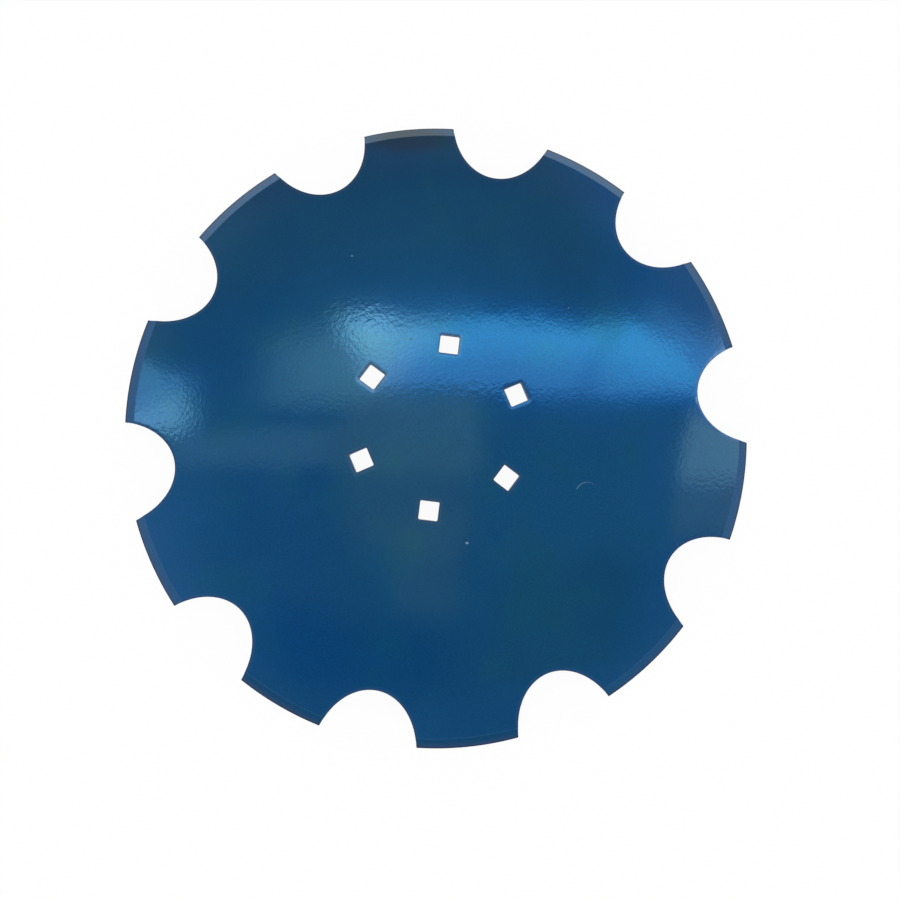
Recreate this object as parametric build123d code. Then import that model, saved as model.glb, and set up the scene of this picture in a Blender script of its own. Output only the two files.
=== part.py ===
from build123d import *
from math import asin, atan, cos, sin
import os

# A notched harrow disc blade: one round sheet of hardened steel, punched with square bolt
# holes and rim notches, pressed into a shallow spherical dish, and ground to a blunt cutting
# edge on its convex side. It lies hollow side down on the tips of its teeth, which touch
# Z = 0. Z is the blade's axis, and the first bolt hole is on +X. Lengths are millimetres and
# angles in the list below are degrees.

# The sheet
RIM_RADIUS = 280.0
THICKNESS = 6.0
DISH_DEPTH = 54.0  # height of the middle of the hollow side above the tips

# The ground edge
LAND = 1.2  # blunt face left at the very rim
BEVEL_WIDTH = 12.5  # measured along the convex side, inwards from the rim

# The rim notches, each one end of an oval
NOTCH_ROOT_RADIUS = 232.5
NOTCH_HALF_LENGTH = 70.5
NOTCH_HALF_WIDTH = 46.5
# The punching is a little uneven round the rim, as it is on the real blade.
NOTCH_ANGLES = (20.25, 55.0, 90.0, 126.75, 164.25, 199.5, 234.0, 270.75, 307.75, 344.25)

# The bolt holes, for bolts with a square neck
BOLT_HOLES = 6
BOLT_CIRCLE_RADIUS = 72.0
BOLT_HOLE_SIDE = 16.5
BOLT_HOLE_CORNER = 1.2

# Both sides of the sheet are parts of spheres about one centre on the axis.
rim_lean = 2 * atan(DISH_DEPTH / RIM_RADIUS)
standing_radius = RIM_RADIUS - LAND * sin(rim_lean)
hollow_curvature = (standing_radius**2 + DISH_DEPTH**2) / (2 * DISH_DEPTH)
convex_curvature = hollow_curvature + THICKNESS
centre_height = DISH_DEPTH - hollow_curvature
rim_angle = asin(standing_radius / hollow_curvature)
bevel_angle = rim_angle - BEVEL_WIDTH / convex_curvature

# Far enough to pass through the sheet from either side
cut_reach = DISH_DEPTH + THICKNESS


def section_point(curvature, angle):
    """The point of the half section on this sphere, at this angle (radians) from the axis."""
    return (curvature * sin(angle), centre_height + curvature * cos(angle))


def pressed_and_ground_sheet():
    """The dish with its bevelled rim, before any hole or notch."""
    convex_top = section_point(convex_curvature, 0)
    convex_middle = section_point(convex_curvature, bevel_angle / 2)
    bevel_start = section_point(convex_curvature, bevel_angle)
    land_top = section_point(hollow_curvature + LAND, rim_angle)
    land_foot = section_point(hollow_curvature, rim_angle)
    hollow_middle = section_point(hollow_curvature, rim_angle / 2)
    hollow_top = section_point(hollow_curvature, 0)
    outline = [
        ThreePointArc(convex_top, convex_middle, bevel_start),
        Polyline(bevel_start, land_top, land_foot),
        ThreePointArc(land_foot, hollow_middle, hollow_top),
        Line(hollow_top, convex_top),
    ]
    return revolve(Plane.XZ * make_face(outline), axis=Axis.Z)


def punch(radius, shape):
    """A cutter over +X that stands square to the sheet at this distance from the axis.

    The shape is drawn flat on the convex side there, with its own X pointing to the rim.
    """
    lean = asin(radius / convex_curvature)
    x, z = section_point(convex_curvature, lean)
    seat = Plane(origin=(x, 0, z), x_dir=(cos(lean), 0, -sin(lean)), z_dir=(sin(lean), 0, cos(lean)))
    return extrude(seat * shape, amount=cut_reach, both=True)


def notch_punches():
    oval = Pos(NOTCH_HALF_LENGTH, 0) * Ellipse(NOTCH_HALF_LENGTH, NOTCH_HALF_WIDTH)
    notch = punch(NOTCH_ROOT_RADIUS, oval)
    return [Rot(0, 0, angle) * notch for angle in NOTCH_ANGLES]


def bolt_hole_punches():
    square = RectangleRounded(BOLT_HOLE_SIDE, BOLT_HOLE_SIDE, BOLT_HOLE_CORNER)
    hole = punch(BOLT_CIRCLE_RADIUS, square)
    return [Rot(0, 0, place * 360 / BOLT_HOLES) * hole for place in range(BOLT_HOLES)]


disc_blade = pressed_and_ground_sheet() - notch_punches() - bolt_hole_punches()

os.makedirs("parts", exist_ok=True)
export_step(disc_blade, "parts/disc_blade.step")
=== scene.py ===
from math import asin, atan, cos, pi, radians, sin, sqrt

import bpy
import numpy as np
from mathutils import Matrix, Vector
from mathutils.geometry import delaunay_2d_cdt


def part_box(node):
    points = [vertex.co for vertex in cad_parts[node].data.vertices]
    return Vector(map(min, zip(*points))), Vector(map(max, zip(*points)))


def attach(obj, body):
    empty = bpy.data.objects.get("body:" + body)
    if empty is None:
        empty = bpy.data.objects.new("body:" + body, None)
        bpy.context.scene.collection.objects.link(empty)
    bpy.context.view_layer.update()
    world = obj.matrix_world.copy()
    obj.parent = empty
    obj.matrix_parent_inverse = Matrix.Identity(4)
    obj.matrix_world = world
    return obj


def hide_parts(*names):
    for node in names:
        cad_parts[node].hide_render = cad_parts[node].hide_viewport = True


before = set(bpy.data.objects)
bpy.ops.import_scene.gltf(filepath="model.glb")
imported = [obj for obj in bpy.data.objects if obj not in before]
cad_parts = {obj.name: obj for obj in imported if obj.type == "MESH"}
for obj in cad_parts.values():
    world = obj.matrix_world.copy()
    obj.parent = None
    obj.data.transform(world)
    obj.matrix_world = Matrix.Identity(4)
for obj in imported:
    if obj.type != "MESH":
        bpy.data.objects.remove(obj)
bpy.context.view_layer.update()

# The sheet, as the solid has it
RIM_RADIUS = 0.280
THICKNESS = 0.006
DISH_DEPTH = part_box("disc_blade")[1].z - THICKNESS
LAND = 0.0012
BEVEL_WIDTH = 0.0125
NOTCH_ROOT_RADIUS = 0.2325
NOTCH_HALF_LENGTH = 0.0705
NOTCH_HALF_WIDTH = 0.0465
NOTCH_ANGLES = (20.25, 55.0, 90.0, 126.75, 164.25, 199.5, 234.0, 270.75, 307.75, 344.25)  # degrees
BOLT_HOLES = 6
BOLT_CIRCLE_RADIUS = 0.072
BOLT_HOLE_SIDE = 0.0165
BOLT_HOLE_CORNER = 0.0012

# What punching, grinding and paint do to its edges, and the shade painted along them
EDGE_ROUNDING = 0.0003
TIP_BLUNTING = 0.0006  # how far along each side a tooth's sharp corner is rounded
CREASE_SOFTENING = 0.00035  # half the width of the rounded line where the bevel starts
MIDDLE_OF_CREASE = 0.000315  # half the width of the part of it that stays level
ROLL_WIDTH = 0.004  # the strip along a punched edge that the punch drew down
ROLL_DROP = 0.00014
# The dark line of painted shade along the edges: how far in it is whole, and how far in it has
# faded out
EDGE_SHADE_LINE = (0.0006, 0.0015)
RIM_SHADE_LINE = (0.0010, 0.0021)
PUNCHED_SHADE_LINE_STRENGTH = 0.3  # the line along a punched edge, as a share of the rim's

# How fine the mesh is
OUTLINE_STEP = 0.003
FACE_STEP = 0.006
EDGE_ROWS = (*EDGE_SHADE_LINE, 0.0026, ROLL_WIDTH)  # rows of points beside the edges, this far in
ROW_CLEARANCE = 0.97  # a row leaves out a point that is nearer an edge than this share of that
ROW_NEIGHBOURS = 3  # how many points back a row looks so that it doesn't crowd itself
EDGE_TURNS = (0, 30, 60, 90)  # degrees round a rounded edge
CORNER_STEPS = 5  # along a bolt hole's rounded corner
HALVINGS = 50  # in the search for where two lines cross
SMALLEST_GAP = 1e-9  # between two points of the blank
NOT_ZERO = 1e-12  # keeps a division by a level line's rise finite

rim_lean = 2 * atan(DISH_DEPTH / RIM_RADIUS)
standing_radius = RIM_RADIUS - LAND * sin(rim_lean)
hollow_curvature = (standing_radius**2 + DISH_DEPTH**2) / (2 * DISH_DEPTH)
convex_curvature = hollow_curvature + THICKNESS
centre_height = DISH_DEPTH - hollow_curvature
rim_angle = asin(standing_radius / hollow_curvature)
bevel_angle = rim_angle - BEVEL_WIDTH / convex_curvature
bevel_drop = THICKNESS - LAND

# The blade is laid out as its flat blank, where a point's distance from the middle is its
# distance along the convex side, and then pressed into the dish.
rim_distance = rim_angle * convex_curvature
bevel_distance = bevel_angle * convex_curvature
crease_lines = (bevel_distance - CREASE_SOFTENING, bevel_distance + CREASE_SOFTENING)
notch_lean = asin(NOTCH_ROOT_RADIUS / convex_curvature)
hole_lean = asin(BOLT_CIRCLE_RADIUS / convex_curvature)


def direction(lean, turn, u, v):
    """From the dish's centre to the point (u, v) of the punch's own plane, u towards the rim."""
    across = Vector((cos(lean), 0, -sin(lean))) * u
    along = Vector((0, 1, 0)) * v
    out = Vector((sin(lean), 0, cos(lean))) * sqrt(convex_curvature**2 - u * u - v * v)
    return Matrix.Rotation(turn, 3, "Z") @ (across + along + out).normalized()


def on_blank(way):
    """The blank's point that lies in this direction from the dish's centre."""
    flat = Vector((way.x, way.y))
    return flat.normalized() * asin(flat.length) * convex_curvature


def notch_point(turn, s):
    """A point of a notch's oval; s is 0 at its root and grows towards its upper corner."""
    u = NOTCH_HALF_LENGTH * (1 - cos(s))
    v = NOTCH_HALF_WIDTH * sin(s)
    return on_blank(direction(notch_lean, turn, u, v))


def notch_crossing(distance):
    """Where a notch's side passes this distance from the middle of the blank."""
    low, high = 0.0, pi / 2
    for _ in range(HALVINGS):
        middle = (low + high) / 2
        if notch_point(0, middle).length < distance:
            low = middle
        else:
            high = middle
    return low


def polar(distance, angle):
    return Vector((distance * cos(angle), distance * sin(angle)))


def spread(start, end, step):
    """Evenly spaced values from start to end, both included."""
    return np.linspace(start, end, max(2, round(abs(end - start) / step) + 1))


def rim_outline():
    """The blank's outer edge, and which of its points each tooth's bevel lines run between."""
    side_end = notch_crossing(rim_distance)
    corner_step = TIP_BLUNTING / NOTCH_HALF_WIDTH
    inner, outer = (notch_crossing(d) for d in crease_lines)
    s_step = OUTLINE_STEP / NOTCH_HALF_WIDTH
    to_bevel = spread(0, inner, s_step)[1:]
    to_corner = spread(outer, side_end - corner_step, s_step)[1:]
    half = [*to_bevel, outer, *to_corner]
    sides = [-s for s in reversed(half)] + [0.0] + half
    turns = [radians(a) for a in NOTCH_ANGLES]
    corner = notch_point(0, side_end)
    half_gap = np.arctan2(corner.y, corner.x)
    nip = TIP_BLUNTING / rim_distance
    points, starts, ends = [], [], []
    for turn, following in zip(turns, turns[1:] + [turns[0] + 2 * pi]):
        for s in sides:
            if s in (-inner, -outer):
                ends.append(len(points))
            if s in (inner, outer):
                starts.append(len(points))
            points.append(notch_point(turn, s))
        first, last = turn + half_gap, following - half_gap
        tip_angles = spread(first + nip, last - nip, OUTLINE_STEP / RIM_RADIUS)
        tooth = [polar(rim_distance, a) for a in tip_angles]
        tips = [polar(rim_distance, a) for a in (first, last)]
        before = points[-1]
        after = notch_point(following, -side_end + corner_step)
        points.append((before + tooth[0] + 2 * tips[0]) / 4)
        points.extend(tooth)
        points.append((tooth[-1] + after + 2 * tips[1]) / 4)
    return points, starts, ends


def hole_outline(turn):
    """A square hole's edge, clockwise, so that the sheet is on its left as it is on the rim's."""
    flat_half = BOLT_HOLE_SIDE / 2 - BOLT_HOLE_CORNER
    along_side = spread(flat_half, -flat_half, OUTLINE_STEP)
    side = [Vector((BOLT_HOLE_SIDE / 2, y)) for y in along_side]
    middle = Vector((flat_half, -flat_half))
    corner_turns = np.linspace(0, pi / 2, CORNER_STEPS + 1)[1:-1]
    corner = [middle + polar(BOLT_HOLE_CORNER, -a) for a in corner_turns]
    points = []
    for quarter in range(4):
        facing = Matrix.Rotation(-quarter * pi / 2, 2)
        points += [facing @ p for p in side + corner]
    return [on_blank(direction(hole_lean, turn, *p)) for p in points]


def outward(points):
    """The direction out of the sheet at each point of a closed edge."""
    p = np.array(points)
    ahead = np.roll(p, -1, 0) - p
    ahead /= np.linalg.norm(ahead, axis=1)[:, None]
    tangent = ahead + np.roll(ahead, 1, 0)
    tangent /= np.linalg.norm(tangent, axis=1)[:, None]
    return np.stack([tangent[:, 1], -tangent[:, 0]], 1)


def inside(p, loop):
    """Whether each point p is inside the closed loop."""
    a, b = loop, np.roll(loop, -1, 0)
    hits = np.zeros(len(p), int)
    for (ax, ay), (bx, by) in zip(a, b):
        spans = (ay > p[:, 1]) != (by > p[:, 1])
        hits += spans & (p[:, 0] < (bx - ax) * (p[:, 1] - ay) / (by - ay + NOT_ZERO) + ax)
    return hits % 2 == 1


def in_sheet(p, loops):
    """Whether each point p is inside the rim's loop and outside every hole's."""
    keep = inside(p, loops[0])
    for loop in loops[1:]:
        keep &= ~inside(p, loop)
    return keep


def nearest_edge(p, loops, ways):
    """How far each point p is from the nearest edge, and the way out of the sheet there."""
    best = np.full(len(p), np.inf)
    best_way = np.zeros((len(p), 2))
    for loop, way in zip(loops, ways):
        loop = np.array(loop)
        for i, start in enumerate(loop):
            following = (i + 1) % len(loop)
            along = loop[following] - start
            share = np.clip((p - start) @ along / (along @ along), 0, 1)[:, None]
            distance = np.hypot(*(p - start - share * along).T)
            nearer = distance < best
            best[nearer] = distance[nearer]
            best_way[nearer] = (way[i] * (1 - share) + way[following] * share)[nearer]
    return best, best_way


def edge_rows(loops, ways):
    """Rows of points beside the edges, left out where they would crowd a corner or the bevel."""
    rows = []
    for inset in EDGE_ROWS:
        row = np.concatenate([np.array(loop) - inset * way for loop, way in zip(loops, ways)])
        clear = nearest_edge(row, loops, ways)[0] > ROW_CLEARANCE * inset
        clear &= np.abs(np.hypot(*row.T) - bevel_distance) > 2 * TIP_BLUNTING
        rows.append(row[clear])
    points = []
    for p in np.concatenate(rows):
        if all(np.hypot(*(p - q)) > TIP_BLUNTING for q in points[-ROW_NEIGHBOURS:]):
            points.append(p)
    return points


def face_grid(loops):
    """Evenly scattered points inside the sheet, clear of its edges and bevel lines."""
    count = 2 * int(rim_distance / FACE_STEP) + 4  # rows and columns that more than cover the blank
    row, column = np.meshgrid(np.arange(-count, count), np.arange(-count, count))
    across = (column + row % 2 / 2) * FACE_STEP
    p = np.stack([across.ravel(), row.ravel() * FACE_STEP * sqrt(3) / 2], 1)
    p = p[np.hypot(*p.T) < rim_distance - FACE_STEP / 2]
    p = p[np.abs(np.hypot(*p.T) - bevel_distance) > FACE_STEP / 2]
    for loop in loops:
        near = np.array([np.hypot(*(p - q).T) < ROLL_WIDTH + FACE_STEP / 3 for q in loop]).any(0)
        p = p[~near]
    return p[in_sheet(p, loops)]


def bevel_line(points, start, end, distance):
    """Adds a line's points between two that are there, and gives the edges between them all."""
    first = np.arctan2(points[start].y, points[start].x)
    last = np.arctan2(points[end].y, points[end].x)
    last += 2 * pi * (last < first)
    line = [start]
    for angle in spread(first, last, OUTLINE_STEP / RIM_RADIUS)[1:-1]:
        line.append(len(points))
        points.append(polar(distance, angle))
    line.append(end)
    return list(zip(line, line[1:]))


def triangulated():
    """The flat blank: its points, its triangles, and its edge loops with their outward ways."""
    rim, starts, ends = rim_outline()
    loops = [rim] + [hole_outline(2 * pi * k / BOLT_HOLES) for k in range(BOLT_HOLES)]
    ways = [outward(loop) for loop in loops]
    inset = [np.array(loop) - EDGE_ROUNDING * way for loop, way in zip(loops, ways)]
    points = [Vector(p) for loop in inset for p in loop]
    edges, first = [], 0
    for loop in inset:
        edges += [(first + i, first + (i + 1) % len(loop)) for i in range(len(loop))]
        first += len(loop)
    ends = ends[2:] + ends[:2]  # a tooth's lines end at the next notch
    for tooth in range(len(NOTCH_ANGLES)):
        for ring, distance in enumerate(crease_lines):
            start = starts[2 * tooth + ring]
            end = ends[2 * tooth + 1 - ring]
            edges += bevel_line(points, start, end, distance)
    points += [Vector(p) for p in edge_rows(loops, ways)]
    points += [Vector(p) for p in face_grid(inset)]
    made = delaunay_2d_cdt(points, edges, [], 0, SMALLEST_GAP)
    flat = np.array(made[0])
    triangles = np.array(made[2])
    if len(flat) != len(points):
        raise ValueError("the blank's lines cross")
    return flat, triangles[in_sheet(flat[triangles].mean(1), inset)], loops, ways


def bevel_share(angle):
    """0 on the convex side, 1 on the bevel, and between on the rounded line where they meet."""
    soft = CREASE_SOFTENING / convex_curvature
    return np.clip((angle - bevel_angle + soft) / (2 * soft), 0, 1)


def along_bevel(angle):
    """How far across the bevel a point is: 0 up to where it starts, and 1 at the rim."""
    share = np.clip((angle - bevel_angle) / (rim_angle - bevel_angle), 0, None)
    share[np.abs(angle - bevel_angle) < MIDDLE_OF_CREASE / convex_curvature] = 0
    return share


def sheet_axes(flat):
    """A point's angle from the axis, and the ways out of, down and round the sheet there."""
    angle = np.hypot(*flat.T) / convex_curvature
    turn = np.arctan2(flat[:, 1], flat[:, 0])
    out = np.stack([np.sin(angle) * np.cos(turn), np.sin(angle) * np.sin(turn), np.cos(angle)], 1)
    down = np.stack([np.cos(angle) * np.cos(turn), np.cos(angle) * np.sin(turn), -np.sin(angle)], 1)
    side = np.stack([-np.sin(turn), np.cos(turn), 0 * turn], 1)
    return angle, out, down, side


def roll_share(angle, distance):
    """How near a punched edge a point of the convex side is, from 0 to 1; 0 on the bevel."""
    return np.clip(1 - distance / ROLL_WIDTH, 0, 1) * (1 - bevel_share(angle))


def pressed(flat, distance, depth, top):
    """Where the blank's points go when it is pressed, this deep below the top or bottom face."""
    angle, out, _, _ = sheet_axes(flat)
    if top:
        roll = ROLL_DROP * roll_share(angle, distance) ** 2
        reach = convex_curvature - bevel_drop * along_bevel(angle) - roll - depth
    else:
        reach = np.full(len(flat), hollow_curvature + depth)
    return out * reach[:, None] + (0, 0, centre_height)


def unit(vectors):
    return vectors / np.linalg.norm(vectors, axis=1)[:, None]


def along_sheet(flat, way):
    """The blank's outward ways, turned to lie along the pressed sheet."""
    _, _, down, side = sheet_axes(flat)
    flat_out = unit(flat)
    flat_round = np.stack([-flat_out[:, 1], flat_out[:, 0]], 1)
    return down * (way * flat_out).sum(1)[:, None] + side * (way * flat_round).sum(1)[:, None]


def face_normals(flat, distance, way, top):
    angle, out, down, _ = sheet_axes(flat)
    if not top:
        return -out
    slope = bevel_drop / BEVEL_WIDTH * bevel_share(angle)
    roll = 2 * ROLL_DROP / ROLL_WIDTH * roll_share(angle, distance)
    return unit(out + down * slope[:, None] + along_sheet(flat, way) * roll[:, None])


def shade_line_share(inset, line):
    """How strong a line of painted shade is this far in from its edge."""
    whole, faded = line
    return np.clip((faded - inset) / (faded - whole), 0, 1)


def painted_shade_line(flat, distance):
    """How strong the painted shade line is at a point this far from the nearest edge."""
    rim = shade_line_share(rim_distance - np.hypot(*flat.T), RIM_SHADE_LINE)
    return np.maximum(rim, PUNCHED_SHADE_LINE_STRENGTH * shade_line_share(distance, EDGE_SHADE_LINE))


def edge_row(edge, way, turn, top):
    """The places and normals of a row of points, this many degrees round the rounded edges."""
    over, in_plane = cos(radians(turn)), sin(radians(turn))
    inset = np.full(len(edge), EDGE_ROUNDING * (1 - in_plane))
    at = edge - way * inset[:, None]
    bent = over * face_normals(at, inset, way, top) + in_plane * along_sheet(at, way)
    return pressed(at, inset, EDGE_ROUNDING * (1 - over), top), unit(bent)


def edge_faces(rows, loops):
    """The faces between the rows of points that follow the edges, from top to bottom."""
    following, first = [], 0
    for loop in loops:
        following += [first + (i + 1) % len(loop) for i in range(len(loop))]
        first += len(loop)
    faces = []
    for upper, lower in zip(rows, rows[1:]):
        faces += [(upper[j], upper[i], lower[i], lower[j]) for i, j in enumerate(following)]
    return faces


def blade_mesh():
    """The blade's closed mesh, with what its paint needs to know kept on its points."""
    flat, triangles, loops, ways = triangulated()
    distance, way_out = nearest_edge(flat, loops, ways)
    angle = sheet_axes(flat)[0]
    # the dark line of painted shade along the edges
    line = painted_shade_line(flat, distance)
    none = np.zeros(len(flat))
    vertices = [pressed(flat, distance, 0, top) for top in (True, False)]
    normals = [face_normals(flat, distance, way_out, top) for top in (True, False)]
    kept = {
        # edge holds how strong the painted shade line is
        "edge": [line, line],
        "wall": [none, none],
        "ground": [bevel_share(angle), none],
        "tipward": [along_bevel(angle), none],
        "rolled": [roll_share(angle, distance), none],
        "convex": [none + 1, none],
    }
    edge = np.concatenate([np.array(loop) for loop in loops])
    way = np.concatenate(ways)
    count = len(edge)
    edge_shade_line = painted_shade_line(edge, np.zeros(count))
    rows = [np.arange(count)]  # the blank's first points are the inner ends of its edges
    made = 2 * len(flat)
    turns = [(turn, True) for turn in EDGE_TURNS[1:]]
    turns += [(turn, False) for turn in EDGE_TURNS[:0:-1]]
    for turn, top in turns:
        places, ways_out = edge_row(edge, way, turn, top)
        vertices.append(places)
        normals.append(ways_out)
        on_row = {"edge": edge_shade_line, "wall": turn == EDGE_TURNS[-1], "rolled": top}
        for name, values in kept.items():
            values.append(np.zeros(count) + on_row.get(name, 0))
        rows.append(made + np.arange(count))
        made += count
    rows.append(len(flat) + np.arange(count))
    faces = [tuple(t) for t in triangles]
    faces += [tuple(t[::-1] + len(flat)) for t in triangles]
    faces += edge_faces(rows, loops)
    mesh = bpy.data.meshes.new("enamelled_disc_blade")
    mesh.from_pydata(np.concatenate(vertices).tolist(), [], [tuple(map(int, f)) for f in faces])
    mesh.polygons.foreach_set("use_smooth", [True] * len(mesh.polygons))
    mesh.normals_split_custom_set_from_vertices(np.concatenate(normals).tolist())
    mesh.validate()
    for name, values in kept.items():
        stored = mesh.attributes.new(name, "FLOAT", "POINT")
        stored.data.foreach_set("value", np.concatenate(values))
    return mesh


# Helpers for materials


def put(tree, kind, **settings):
    """A new node with these settings."""
    node = tree.nodes.new(kind)
    for name, value in settings.items():
        setattr(node, name, value)
    return node


def feed(tree, socket, value):
    """Fills an input with a number, a colour or another node's output."""
    if isinstance(value, bpy.types.NodeSocket):
        tree.links.new(value, socket)
    else:
        socket.default_value = value


def maths(tree, operation, *values):
    node = put(tree, "ShaderNodeMath", operation=operation)
    for socket, value in zip(node.inputs, values):
        feed(tree, socket, value)
    return node.outputs[0]


def vector_maths(tree, operation, first, second):
    node = put(tree, "ShaderNodeVectorMath", operation=operation)
    feed(tree, node.inputs[0], first)
    feed(tree, node.inputs["Scale"] if operation == "SCALE" else node.inputs[1], second)
    return node.outputs["Value"] if operation in ("DISTANCE", "LENGTH") else node.outputs["Vector"]


def product(tree, first, *others):
    for value in others:
        first = maths(tree, "MULTIPLY", first, value)
    return first


def total(tree, first, *others):
    for value in others:
        first = maths(tree, "ADD", first, value)
    return first


def ramp(tree, value, zero_at, one_at, low=0.0, high=1.0):
    """A smooth step from low to high as value goes from zero_at to one_at."""
    node = put(tree, "ShaderNodeMapRange", interpolation_type="SMOOTHSTEP")
    ends = (zero_at, one_at, low, high) if zero_at < one_at else (one_at, zero_at, high, low)
    feed(tree, node.inputs["Value"], value)
    for name, number in zip(("From Min", "From Max", "To Min", "To Max"), ends):
        node.inputs[name].default_value = number
    return node.outputs["Result"]


def noise(tree, place, size, detail):
    """Noise whose blotches are about this many metres across."""
    node = put(tree, "ShaderNodeTexNoise")
    feed(tree, node.inputs["Vector"], place)
    node.inputs["Scale"].default_value = 1 / size
    node.inputs["Detail"].default_value = detail
    return node.outputs["Fac"]


def attribute(tree, name):
    return put(tree, "ShaderNodeAttribute", attribute_name=name).outputs["Fac"]


def mix(tree, share, first, second):
    """Two colours mixed. The node's sockets for colours come after those for other kinds."""
    node = put(tree, "ShaderNodeMix", data_type="RGBA")
    feed(tree, node.inputs[0], share)
    feed(tree, node.inputs[6], first)
    feed(tree, node.inputs[7], second)
    return node.outputs[2]


def glowing(tree, background, mask, glow):
    """A colour with a light added to it."""
    return vector_maths(tree, "ADD", background, vector_maths(tree, "SCALE", glow, mask))


def colour(red, green, blue):
    return (red, green, blue, 1)


# The photograph's right and up are the blade's +X and +Y turned back by this much.
PHOTO_TURN = radians(-23.02)


def photo_axes(tree, vector):
    """A vector's parts along the photograph's right and up, and along the blade's axis."""
    turned = put(tree, "ShaderNodeVectorRotate", rotation_type="Z_AXIS")
    feed(tree, turned.inputs["Vector"], vector)
    turned.inputs["Angle"].default_value = -PHOTO_TURN
    axes = put(tree, "ShaderNodeSeparateXYZ")
    feed(tree, axes.inputs[0], turned.outputs[0])
    return axes.outputs


# The enamel: a deep metallic blue, a little thicker here and thinner there
PAINT_THICK = colour(0.0012, 0.081, 0.218)
PAINT_THIN = colour(0.0030, 0.094, 0.240)
PAINT_TEAL = colour(0.0028, 0.096, 0.208)
FLAKE_SHADES = (0.93, 1.07)  # the metal flakes' darker and lighter sides
PAINT_ROLLED = colour(0.024, 0.100, 0.228)  # paler and warmer along a punched edge
# The painted shade along the edges: a dark line for the shadowed floor that their rounding reflects
PAINTED_EDGE_SHADE = colour(0.0030, 0.0120, 0.070)
# The walls are painted lighter than the face: painted light that offsets the shade in the holes and
# notches
LIGHTENED_WALL_PAINT = colour(0.020, 0.150, 0.350)
BEVEL_PAINT = colour(0.006, 0.086, 0.225)
# The bevel turns warmer towards the rim: a painted reflection of warm light off its tips
BEVEL_TIP_REFLECTION_PAINT = colour(0.018, 0.084, 0.205)
# The lower teeth's bevels: darker, painted shade, and warmer still at the rim, a painted warm
# reflection
LOW_BEVEL_SHADE_PAINT = colour(0.0005, 0.065, 0.178)
LOW_BEVEL_TIP_REFLECTION_PAINT = colour(0.032, 0.082, 0.176)
TEAL_FROM = (0.5, 0.75)  # where in its noise the teal starts and is full
TEAL_SHARE = 0.8
BEVEL_TIP_FROM = (0.3, 0.95)  # how far across the bevel its paint starts and ends changing
LOW_BEVEL_TIP_FROM = (0.2, 1.1)
METALLIC = 0.5
BEVEL_METALLIC = 0.22
MARK_METALLIC = 0.1
HAZE = (0.080, 0.120)  # roughness, least and most
BEVEL_HAZE = 0.10  # added on the ground bevel
EDGE_HAZE = 0.30  # added along the edges
NOISE_SPAN = (0.3, 0.7)  # the part of a noise's range that the paint's changes are spread over

# Its unevenness: how far apart it goes, and how high it is
FILM = 0.11
TINT = 0.05
FLAKES = 0.0014
PEEL = (0.0032, 0.000042)
COARSE_PEEL = (0.0038, 0.000085)
SAG = (0.013, 0.00004)
WAVES = (0.040, 0.00020)

# Places on the convex side, as right and up in the photograph from the blade's axis, and the
# half width and half height of each. A place is whole over this much of the way out, and fades
# from there to its edge.
SPOT_CORE = 0.3
COARSE_SPOTS = (
    (-0.066, 0.086, 0.060, 0.042),
    (0.030, 0.036, 0.060, 0.022),
    (0.226, 0.074, 0.050, 0.040),
    (-0.237, 0.013, 0.050, 0.050),
    (0.243, -0.040, 0.040, 0.040),
)
# Two light specks in the paint, then two glints off dust nibs painted in as pale spots
LIGHT_SPECKS_AND_GLINTS = (
    (-0.0758, 0.1513, 0.0011, 0.0009),
    (0.0237, -0.0985, 0.0019, 0.0014),
    (0.1131, 0.1056, 0.0008, 0.0006),
    (0.0085, 0.0983, 0.0008, 0.0005),
)
DARK_SPECKS = ((-0.0241, 0.0758, 0.0014, 0.0014),)
PALE_MARK_AND_GLINT = colour(0.20, 0.30, 0.38)
SPECK_DARK = colour(0.001, 0.012, 0.045)
CHIP = (0.2290, 0.0274, 0.0014, 0.0045)
CHIP_STRENGTH = 0.4
SCRATCH_MIDDLE = (0.1275, -0.0565)
SCRATCH_RADIUS = 0.0099
SCRATCH_WIDTH = 0.0009
SCRATCH_FOOT = -0.0535  # it is the part of a circle above this
SCRATCH_ENDS = (0.139, 0.1185)  # where it fades out, and where it shows most
SCRATCH_STRENGTH = 0.5
# A darker, browner patch by the top tooth, stronger on its bevel
DARK_PATCH = (-0.0260, 0.2680, 0.056, 0.022)
DARK_PATCH_BROWN = colour(0.018, 0.042, 0.058)
DARK_PATCH_STRENGTH = 0.5
DARK_PATCH_ON_BEVEL = 0.25  # how much stronger it is there
SHADED_LOW_BEVELS = (-0.060, -0.290, 0.230, 0.130)  # where the lower teeth's bevels get their painted shade and painted warm reflection
SHADED_LOW_BEVELS_CORE = 0.6


def spot(tree, place, at, core=SPOT_CORE):
    """1 in the middle of a place on the blade, fading from core of the way out to 0 at its edge."""
    right, up, half_width, half_height = at
    moved = vector_maths(tree, "SUBTRACT", place, (right, up, 0))
    scaled = vector_maths(tree, "MULTIPLY", moved, (1 / half_width, 1 / half_height, 0))
    length = vector_maths(tree, "LENGTH", scaled, (0, 0, 0))
    return ramp(tree, length, 1, core)


def spots(tree, place, where):
    return total(tree, *[spot(tree, place, at) for at in where])


def scratch(tree, place, right, up):
    """A short curved scratch, strongest at its left end."""
    reach = vector_maths(tree, "DISTANCE", place, (*SCRATCH_MIDDLE, 0))
    off = maths(tree, "ABSOLUTE", maths(tree, "SUBTRACT", reach, SCRATCH_RADIUS))
    line = ramp(tree, off, SCRATCH_WIDTH, 0)
    foot = ramp(tree, up, SCRATCH_FOOT, SCRATCH_FOOT + 2 * SCRATCH_WIDTH)
    return product(tree, line, foot, ramp(tree, right, *SCRATCH_ENDS))


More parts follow.
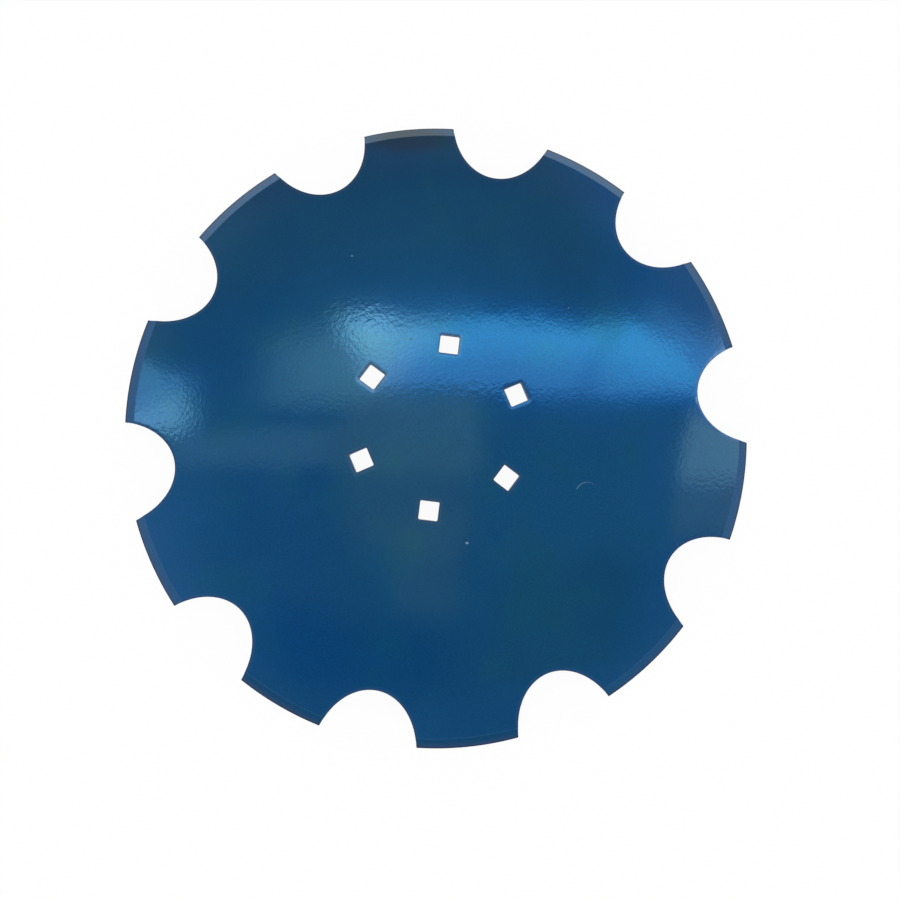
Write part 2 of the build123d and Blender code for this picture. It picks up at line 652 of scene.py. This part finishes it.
def surface_height(tree, place, flat_place):
    """The paint's orange peel and sags, in metres."""
    coarse = maths(tree, "MINIMUM", spots(tree, flat_place, COARSE_SPOTS), 1)
    peel = product(tree, noise(tree, place, PEEL[0], 1), PEEL[1])
    coarse_peel = product(tree, noise(tree, place, COARSE_PEEL[0], 1), COARSE_PEEL[1], coarse)
    sag = product(tree, noise(tree, place, SAG[0], 0), SAG[1])
    waves = product(tree, noise(tree, place, WAVES[0], 0), WAVES[1])
    return total(tree, peel, coarse_peel, sag, waves)


def enamel():
    material = bpy.data.materials.new("blue_enamel")
    material.use_nodes = True
    tree = material.node_tree
    shader = tree.nodes["Principled BSDF"]
    place = put(tree, "ShaderNodeTexCoord").outputs["Object"]
    right, up, _ = photo_axes(tree, place)
    flat = put(tree, "ShaderNodeCombineXYZ")
    feed(tree, flat.inputs[0], right)
    feed(tree, flat.inputs[1], up)
    flat_place = flat.outputs[0]
    # how strong the painted shade line along the edges is here
    edge = attribute(tree, "edge")
    ground = attribute(tree, "ground")
    convex = attribute(tree, "convex")
    tipward = attribute(tree, "tipward")
    wall = attribute(tree, "wall")

    film = noise(tree, place, FILM, 2)
    paint = mix(tree, ramp(tree, film, *NOISE_SPAN), PAINT_THICK, PAINT_THIN)
    teal = ramp(tree, noise(tree, place, TINT, 1), *TEAL_FROM, 0, TEAL_SHARE)
    paint = mix(tree, teal, paint, PAINT_TEAL)
    # The bevel, with its painted reflection at the rim and painted shade on the lower teeth
    bevel = mix(tree, ramp(tree, tipward, *BEVEL_TIP_FROM), BEVEL_PAINT, BEVEL_TIP_REFLECTION_PAINT)
    low_tip = ramp(tree, tipward, *LOW_BEVEL_TIP_FROM)
    low_bevel_shade_and_reflection = mix(tree, low_tip, LOW_BEVEL_SHADE_PAINT, LOW_BEVEL_TIP_REFLECTION_PAINT)
    low_bevel_shade = spot(tree, flat_place, SHADED_LOW_BEVELS, SHADED_LOW_BEVELS_CORE)
    bevel = mix(tree, low_bevel_shade, bevel, low_bevel_shade_and_reflection)
    paint = mix(tree, attribute(tree, "rolled"), paint, PAINT_ROLLED)
    paint = mix(tree, ground, paint, bevel)
    flakes = ramp(tree, noise(tree, place, FLAKES, 0), *NOISE_SPAN, *FLAKE_SHADES)
    paint = vector_maths(tree, "SCALE", paint, flakes)
    strength = maths(tree, "MULTIPLY_ADD", ground, DARK_PATCH_ON_BEVEL, DARK_PATCH_STRENGTH)
    dark_patch = product(tree, spot(tree, flat_place, DARK_PATCH), convex, strength)
    paint = mix(tree, dark_patch, paint, DARK_PATCH_BROWN)
    # Light specks, and glints off dust nibs painted in as light, then the chip and the scratch
    specks_and_glints = spots(tree, flat_place, LIGHT_SPECKS_AND_GLINTS)
    chip = product(tree, spot(tree, flat_place, CHIP), CHIP_STRENGTH)
    line = product(tree, scratch(tree, flat_place, right, up), SCRATCH_STRENGTH)
    pale_marks_and_glints = product(tree, total(tree, specks_and_glints, chip, line), convex)
    paint = mix(tree, pale_marks_and_glints, paint, PALE_MARK_AND_GLINT)
    dark = product(tree, spots(tree, flat_place, DARK_SPECKS), convex)
    paint = mix(tree, dark, paint, SPECK_DARK)
    # the dark line of painted shade along the edges
    paint = mix(tree, edge, paint, PAINTED_EDGE_SHADE)
    # the walls in their lighter colour, painted light against their shade
    feed(tree, shader.inputs["Base Color"], mix(tree, wall, paint, LIGHTENED_WALL_PAINT))

    marks_and_glints = maths(tree, "MAXIMUM", pale_marks_and_glints, dark)
    metallic = ramp(tree, ground, 0, 1, METALLIC, BEVEL_METALLIC)
    bare = maths(tree, "MAXIMUM", marks_and_glints, wall)
    metallic = product(tree, metallic, ramp(tree, bare, 0, 1, 1, MARK_METALLIC))
    feed(tree, shader.inputs["Metallic"], metallic)
    haze = ramp(tree, film, *NOISE_SPAN, *HAZE)
    haze = maths(tree, "MULTIPLY_ADD", ground, BEVEL_HAZE, haze)
    feed(tree, shader.inputs["Roughness"], maths(tree, "MULTIPLY_ADD", edge, EDGE_HAZE, haze))

    bump = put(tree, "ShaderNodeBump")
    bump.inputs["Distance"].default_value = 1  # so that heights are metres
    feed(tree, bump.inputs["Height"], surface_height(tree, place, flat_place))
    feed(tree, shader.inputs["Normal"], bump.outputs["Normal"])
    return material


blade = bpy.data.objects.new("enamelled_disc_blade", blade_mesh())
bpy.context.scene.collection.objects.link(blade)
blade.data.materials.append(enamel())
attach(blade, "root")
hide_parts("disc_blade")

# The camera, where the photograph was taken from
CAMERA_PLACE = Vector((-0.0175, -0.0885, 1.0325))
CAMERA_TILT = Vector((0.07048, -0.02732, 0))  # radians about the photograph's right and up
SENSOR = 36  # millimetres, as is the lens
LENS = 46

lens = bpy.data.cameras.new("camera")
lens.sensor_width = SENSOR
lens.lens = LENS
camera = bpy.data.objects.new("camera", lens)
to_photo = Matrix.Rotation(PHOTO_TURN, 4, "Z")
tilt = Matrix.Rotation(CAMERA_TILT.length, 4, CAMERA_TILT)
camera.matrix_world = to_photo @ Matrix.Translation(CAMERA_PLACE) @ tilt
bpy.context.scene.collection.objects.link(camera)
bpy.context.scene.camera = camera

# The floor
FLOOR_HALF = 6.0
FLOOR_PALE = 0.94  # how much light it scatters
FLOOR_GLOW = 0.95  # how much of what is seen of it is its own light
# How much of the floor's light the gloss shows: little on the near side, and more of it past
# each step, which starts and ends at these places and adds this much of each colour
FLOOR_SHADE_NEAR = (0.05, 0.05, 0.05)
FLOOR_SHADE_STEPS = (
    (-0.30, -0.10, (0.36, 0.38, 0.42)),
    (0.08, 0.26, (0.59, 0.57, 0.36)),
)


def grey(value):
    return colour(value, value, value)


def seen_or_reflected(tree, rays):
    """1 for the rays that show the floor itself, 0 for those that carry its light."""
    seen = maths(tree, "MAXIMUM", rays["Is Camera Ray"], rays["Is Transmission Ray"])
    return maths(tree, "MAXIMUM", seen, rays["Is Glossy Ray"])


def floor_material():
    material = bpy.data.materials.new("pale_floor")
    material.use_nodes = True
    tree = material.node_tree
    tree.nodes.clear()
    rays = put(tree, "ShaderNodeLightPath").outputs
    up = photo_axes(tree, put(tree, "ShaderNodeTexCoord").outputs["Object"])[1]
    shade = FLOOR_SHADE_NEAR
    for start, end, added in FLOOR_SHADE_STEPS:
        shade = glowing(tree, shade, ramp(tree, up, start, end), added)
    pale = put(tree, "ShaderNodeBsdfDiffuse")
    feed(tree, pale.inputs["Color"], mix(tree, rays["Is Glossy Ray"], grey(FLOOR_PALE), shade))
    glow = put(tree, "ShaderNodeEmission")
    feed(tree, glow.inputs["Color"], mix(tree, rays["Is Glossy Ray"], grey(1), shade))
    mixed = put(tree, "ShaderNodeMixShader")
    feed(tree, mixed.inputs[0], product(tree, seen_or_reflected(tree, rays), FLOOR_GLOW))
    feed(tree, mixed.inputs[1], pale.outputs[0])
    feed(tree, mixed.inputs[2], glow.outputs[0])
    feed(tree, put(tree, "ShaderNodeOutputMaterial").inputs[0], mixed.outputs[0])
    return material


corners = [(x * FLOOR_HALF, y * FLOOR_HALF, 0) for x, y in ((-1, -1), (1, -1), (1, 1), (-1, 1))]
floor_mesh = bpy.data.meshes.new("floor")
floor_mesh.from_pydata(corners, [], [(0, 1, 2, 3)])
floor_mesh.materials.append(floor_material())
floor = bpy.data.objects.new("floor", floor_mesh)
bpy.context.scene.collection.objects.link(floor)

# The room that the enamel reflects: a dim ceiling, bluer towards the photograph's foot, pale
# walls, and soft lights. Right and up are the photograph's, on a ceiling one metre up.
CEILING_NEAR = (0.27, 0.32, 0.44)
CEILING_FAR = (0.35, 0.26, 0.18)
CEILING_END = (0.24, 0.09, 0.05)
FAR_FROM = (0.25, 1.0)  # where the ceiling's colour starts and ends changing
END_FROM = (1.10, 1.45)
HORIZON = 0.03  # the lowest direction that the ceiling is laid out for
WALLS = (0.90, 0.84, 0.78)
WALLS_NEAR = (0.32, 0.62, 0.70)
WALLS_NEAR_FROM = (-0.40, -0.90)  # how far towards the photograph's foot it changes
WALLS_FROM = (0.42, 0.20)  # heights, as the cosine of the angle from straight up
COVING = (0.30, 0.12, 0.06)  # added where the walls meet the ceiling
COVING_FROM = (0.64, 0.52)

# Each light is bounded by straight sides: over or under a line at + slope * right, or right
# or left of a line at + slope * up. A side is its kind, at, slope, and how softly it fades.
WINDOW_SIDES = (
    ("over", 0.212, 0, 0.028),
    ("over", 0.123, 0.165, 0.03),
    ("right", -0.08, -0.50, 0.06),
)
WINDOW_PARTS = (
    (("under", 0.470, -0.07, 0.04), ("left", -0.15, 0, 0.05)),
    (("under", 0.452, 0.058, 0.045), ("right", -0.15, 0, 0.05), ("left", 0.52, 0, 0.08)),
    (("right", 0.52, 0, 0.08), ("under", 0.27, 0.38, 0.045), ("under", 0.915, -0.42, 0.05)),
)
WINDOW_GLOW = (1.02, 1.60, 1.95)
WINDOW_UPPER_PART = (("over", 0.34, 0, 0.09),)
WINDOW_UPPER_GLOW = (0.30, 1.40, 1.05)
WINDOW_LEFT_PART = (("left", -0.34, 0.7, 0.18),)
WINDOW_LEFT_GLOW = (4.4, 2.2, 0.7)
WINDOW_BAR = (("right", 0.314, 0.716, 0.05), ("left", 0.374, 0.716, 0.05))
WINDOW_BAR_SHADE = 0.38

# Lights that the window stands in front of, each with its sides and its glow
BEHIND_WINDOW = (
    # past its right end
    (
        (("right", 0.93, 0, 0.08), ("under", 0.65, 0, 0.14), ("over", 0.30, 0, 0.05)),
        (1.05, 1.25, 1.23),
    ),
    # past its left end
    (
        (
            ("over", 0.18, 0, 0.06),
            ("under", 0.45, 0, 0.10),
            ("left", -0.14, 0, 0.12),
            ("right", -0.56, 0, 0.20),
        ),
        (1.26, 1.16, 0.62),
    ),
    # a blue haze round its right half, and one over its left half
    (
        (("over", 0.165, 0.05, 0.05), ("under", 0.54, 0, 0.08), ("right", 0.22, 0, 0.15)),
        (0.02, 0.24, 0.66),
    ),
    (
        (
            ("over", 0.40, 0, 0.05),
            ("under", 0.56, 0, 0.08),
            ("right", -0.25, 0, 0.12),
            ("left", 0.22, 0, 0.15),
        ),
        (0.08, 0.28, 0.45),
    ),
)
DOOR = (
    ("over", 0.125, 0, 0.04),
    ("under", -0.075, -0.40, 0.05),
    ("left", -0.975, 0, 0.09),
    ("right", -1.6, 0, 0.15),
)
RIGHT_WALL = (
    ("right", 1.005, 0.05, 0.05),
    ("right", 0.99, 0.65, 0.05),
    ("under", 0.22, 0, 0.06),
)
LIGHTS = (
    (DOOR, (1.32, 1.55, 1.50)),
    # the door's brighter foot
    (
        (*DOOR, ("under", 0.24, 0, 0.10), ("left", -1.00, 0, 0.08)),
        (2.5, 1.8, 1.1),
    ),
    ((*RIGHT_WALL, ("over", -0.09, 0, 0.05)), (1.30, 1.00, 0.60)),
    ((*RIGHT_WALL, ("over", -0.33, 0, 0.08)), (0.60, 0.28, 0.08)),
    # by the right notch
    (
        (("right", 1.50, 0, 0.12), ("over", 0.25, 0, 0.10), ("under", 0.75, 0, 0.15)),
        (2.5, 1.4, 0.8),
    ),
    # far right
    (
        (("right", 0.80, 0, 0.25), ("over", 0.55, 0, 0.12)),
        (0.00, 0.15, 0.42),
    ),
    # low on the left
    (
        (("left", -0.95, 0, 0.25), ("under", -0.10, 0, 0.12), ("over", -0.90, 0, 0.15)),
        (0.20, 0.18, 0.20),
    ),
    # across the middle, from the left end to the centre and then down from there
    (
        (
            ("over", -0.03, 0, 0.03),
            ("under", 0.10, 0, 0.04),
            ("left", -0.30, 0, 0.10),
            ("right", -1.2, 0, 0.2),
        ),
        (0.62, 0.45, 0.22),
    ),
    (
        (
            ("right", -0.28, 0, 0.08),
            ("left", 0.15, 0, 0.06),
            ("over", -0.05, 0, 0.05),
            ("under", 0.20, 0, 0.04),
        ),
        (0.62, 0.43, 0.12),
    ),
    (
        (
            ("right", -0.28, 0, 0.10),
            ("left", 0.10, 0, 0.08),
            ("over", -0.30, 0, 0.10),
            ("under", -0.04, 0, 0.05),
        ),
        (0.33, 0.17, 0.02),
    ),
    (
        (
            ("right", -0.13, 0, 0.05),
            ("left", 0.08, 0, 0.06),
            ("over", -0.55, 0, 0.08),
            ("under", -0.20, 0, 0.10),
        ),
        (0.27, 0.13, 0.00),
    ),
)
# Dim parts of the ceiling, and what share of each colour is left there
SHADES = (
    (
        (
            ("right", -0.35, 0, 0.12),
            ("left", 0.75, 0, 0.15),
            ("over", -0.95, 0, 0.15),
            ("under", 0.08, 0, 0.10),
        ),
        (1, 1, 0.76),
    ),
    (
        (
            ("right", 0.24, 0, 0.08),
            ("left", 0.85, 0, 0.12),
            ("over", -0.90, 0, 0.12),
            ("under", -0.35, 0, 0.12),
        ),
        (0.9, 0.75, 0.55),
    ),
    (
        (
            ("right", -0.70, 0, 0.15),
            ("left", 0.08, 0, 0.18),
            ("over", -0.95, 0, 0.15),
            ("under", -0.57, 0, 0.14),
        ),
        (0.45, 0.5, 0.92),
    ),
)


def side_mask(tree, x, y, kind, at, slope, softness):
    """1 where this side of a light leaves it lit, and 0 past it."""
    first, second = (x, y) if kind in ("over", "under") else (y, x)
    value = maths(tree, "MULTIPLY_ADD", first, -slope, second)
    fade = softness if kind in ("over", "right") else -softness
    return ramp(tree, value, at - fade, at + fade)


def patch(tree, x, y, sides):
    return product(tree, *[side_mask(tree, x, y, *side) for side in sides])


def reflected_room(tree, way):
    """What the gloss sees in a direction."""
    right, ahead, up = photo_axes(tree, way)
    above = maths(tree, "MAXIMUM", up, HORIZON)
    x = maths(tree, "DIVIDE", right, above)
    y = maths(tree, "DIVIDE", ahead, above)
    shine = mix(tree, ramp(tree, y, *FAR_FROM), colour(*CEILING_NEAR), colour(*CEILING_FAR))
    shine = mix(tree, ramp(tree, y, *END_FROM), shine, colour(*CEILING_END))
    for sides, left in SHADES:
        shaded = vector_maths(tree, "MULTIPLY", shine, left)
        shine = mix(tree, patch(tree, x, y, sides), shine, shaded)
    bar = product(tree, patch(tree, x, y, WINDOW_BAR), WINDOW_BAR_SHADE)
    pane = total(tree, *[patch(tree, x, y, part) for part in WINDOW_PARTS])
    window = product(tree, pane, patch(tree, x, y, WINDOW_SIDES), maths(tree, "SUBTRACT", 1, bar))
    upper = product(tree, window, patch(tree, x, y, WINDOW_UPPER_PART))
    left_end = product(tree, window, patch(tree, x, y, WINDOW_LEFT_PART))
    shine = glowing(tree, shine, window, WINDOW_GLOW)
    shine = glowing(tree, shine, upper, WINDOW_UPPER_GLOW)
    shine = glowing(tree, shine, left_end, WINDOW_LEFT_GLOW)
    free = maths(tree, "SUBTRACT", 1, window)
    for sides, glow in BEHIND_WINDOW:
        shine = glowing(tree, shine, product(tree, patch(tree, x, y, sides), free), glow)
    for sides, glow in LIGHTS:
        shine = glowing(tree, shine, patch(tree, x, y, sides), glow)
    walls = ramp(tree, up, *WALLS_FROM)
    coving = product(tree, ramp(tree, up, *COVING_FROM), maths(tree, "SUBTRACT", 1, walls))
    shine = glowing(tree, shine, coving, COVING)
    near = ramp(tree, ahead, *WALLS_NEAR_FROM)
    return glowing(tree, shine, walls, mix(tree, near, colour(*WALLS), colour(*WALLS_NEAR)))


def room():
    """A plain even light that colours are true in, and the room that only the gloss sees."""
    world = bpy.data.worlds.new("room")
    bpy.context.scene.world = world
    world.use_nodes = True
    tree = world.node_tree
    tree.nodes.clear()
    even = put(tree, "ShaderNodeBackground")
    feed(tree, even.inputs["Color"], grey(1))
    way = put(tree, "ShaderNodeTexCoord").outputs["Generated"]
    reflected = put(tree, "ShaderNodeBackground")
    feed(tree, reflected.inputs["Color"], reflected_room(tree, way))
    seen = put(tree, "ShaderNodeMixShader")
    feed(tree, seen.inputs[0], put(tree, "ShaderNodeLightPath").outputs["Is Glossy Ray"])
    feed(tree, seen.inputs[1], even.outputs[0])
    feed(tree, seen.inputs[2], reflected.outputs[0])
    feed(tree, put(tree, "ShaderNodeOutputWorld").inputs[0], seen.outputs[0])


room()
bpy.context.scene.view_settings.view_transform = "Standard"
